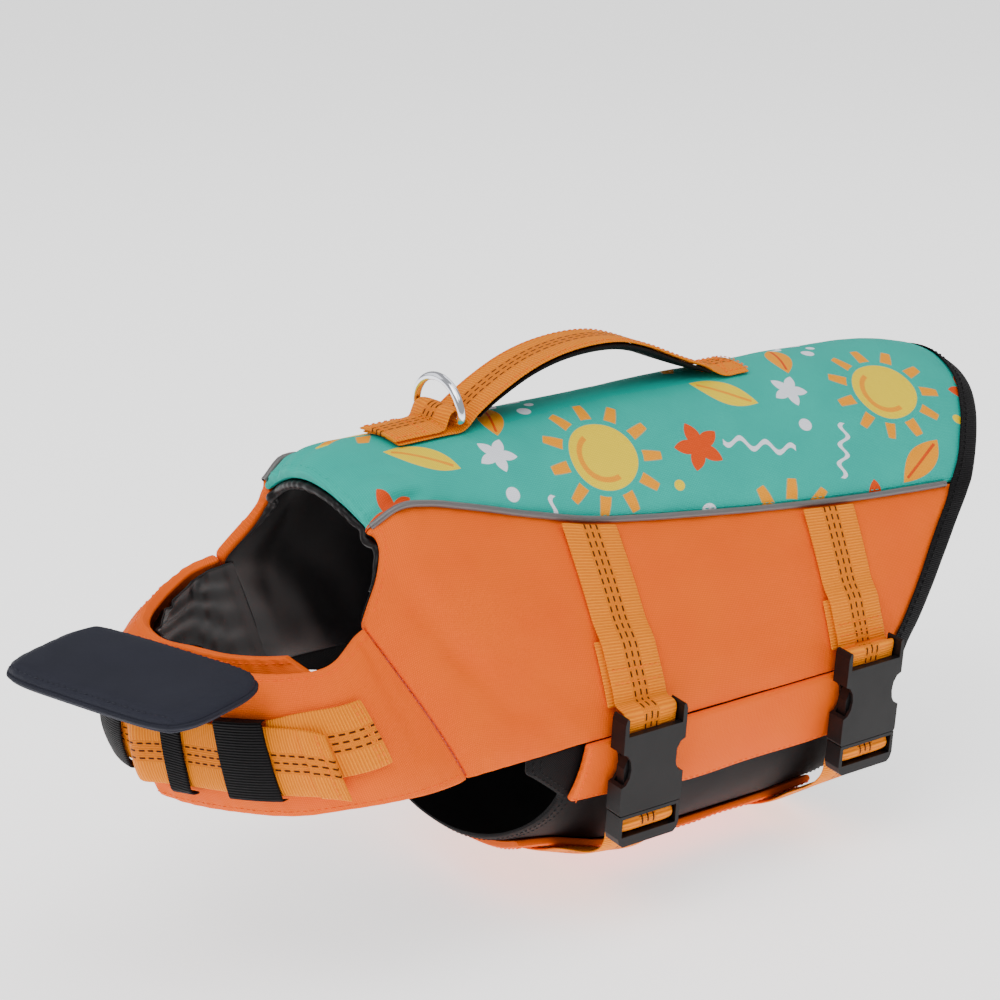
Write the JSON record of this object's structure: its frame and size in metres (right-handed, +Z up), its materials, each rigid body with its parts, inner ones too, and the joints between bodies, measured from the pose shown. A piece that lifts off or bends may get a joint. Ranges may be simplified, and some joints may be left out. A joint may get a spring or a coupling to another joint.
{
  "type": "dog life jacket",
  "caption": "Worn dog life jacket: padded back and side panels, chest band with chin float, belly panel, webbing straps with side release buckles, grab handle and leash ring",
  "frame": {"origin": "inner face of the back panel lining, on the spine at mid length, where the wearer holds the jacket up", "axes": "X runs along the spine towards the tail, Z is up, -Y is the wearer's left side, where the strap buckles are"},
  "size_m": [0.4355, 0.1675, 0.2122],
  "materials": {
    "black_cloth": "black mesh cloth",
    "black_webbing": "black webbing tape",
    "buckle_plastic": "moulded acetal, fine matt",
    "chrome": "bright plated wire",
    "float_cloth": "dark blue-grey coated cloth",
    "lining": "smooth black lining",
    "orange_cloth": "plain woven polyester",
    "orange_webbing": "ribbed nylon webbing",
    "printed_cloth": "woven polyester with a printed pattern",
    "reflective_piping": "grey reflective tape over a cord"
  },
  "bodies": {
    "jacket": {"back_panel": "printed_cloth", "belly_flap_left": "orange_cloth", "belly_flap_right": "orange_cloth", "belly_panel": "black_cloth", "buckle_front_female": "buckle_plastic", "buckle_front_male": "buckle_plastic", "buckle_rear_female": "buckle_plastic", "buckle_rear_male": "buckle_plastic", "chest_strap": "orange_webbing", "chest_wing_left": "orange_cloth", "chest_wing_right": "orange_cloth", "chin_float": "float_cloth", "float_tab": "black_webbing", "handle_pad": "black_webbing", "handle_web": "orange_webbing", "keeper_far": "black_webbing", "keeper_wide": "black_webbing", "lining_body": "lining", "lining_wing_right": "lining", "neck_casing": "black_cloth", "piping_left": "reflective_piping", "piping_right": "reflective_piping", "rear_binding": "black_webbing", "side_panel_left": "orange_cloth", "side_panel_right": "orange_cloth", "strap_front": "orange_webbing", "strap_rear": "orange_webbing", "under_strap_front": "orange_webbing", "under_strap_rear": "orange_webbing"},
    "ring": {"d_ring": "chrome"}
  },
  "joints": [
    {"name": "ring_hinge", "type": "hinge", "parent": "jacket", "child": "ring", "pos_m": [-0.09975, 0, 0.01339], "axis": [0, 1, 0], "range_deg": [-80, 60]}
  ]
}
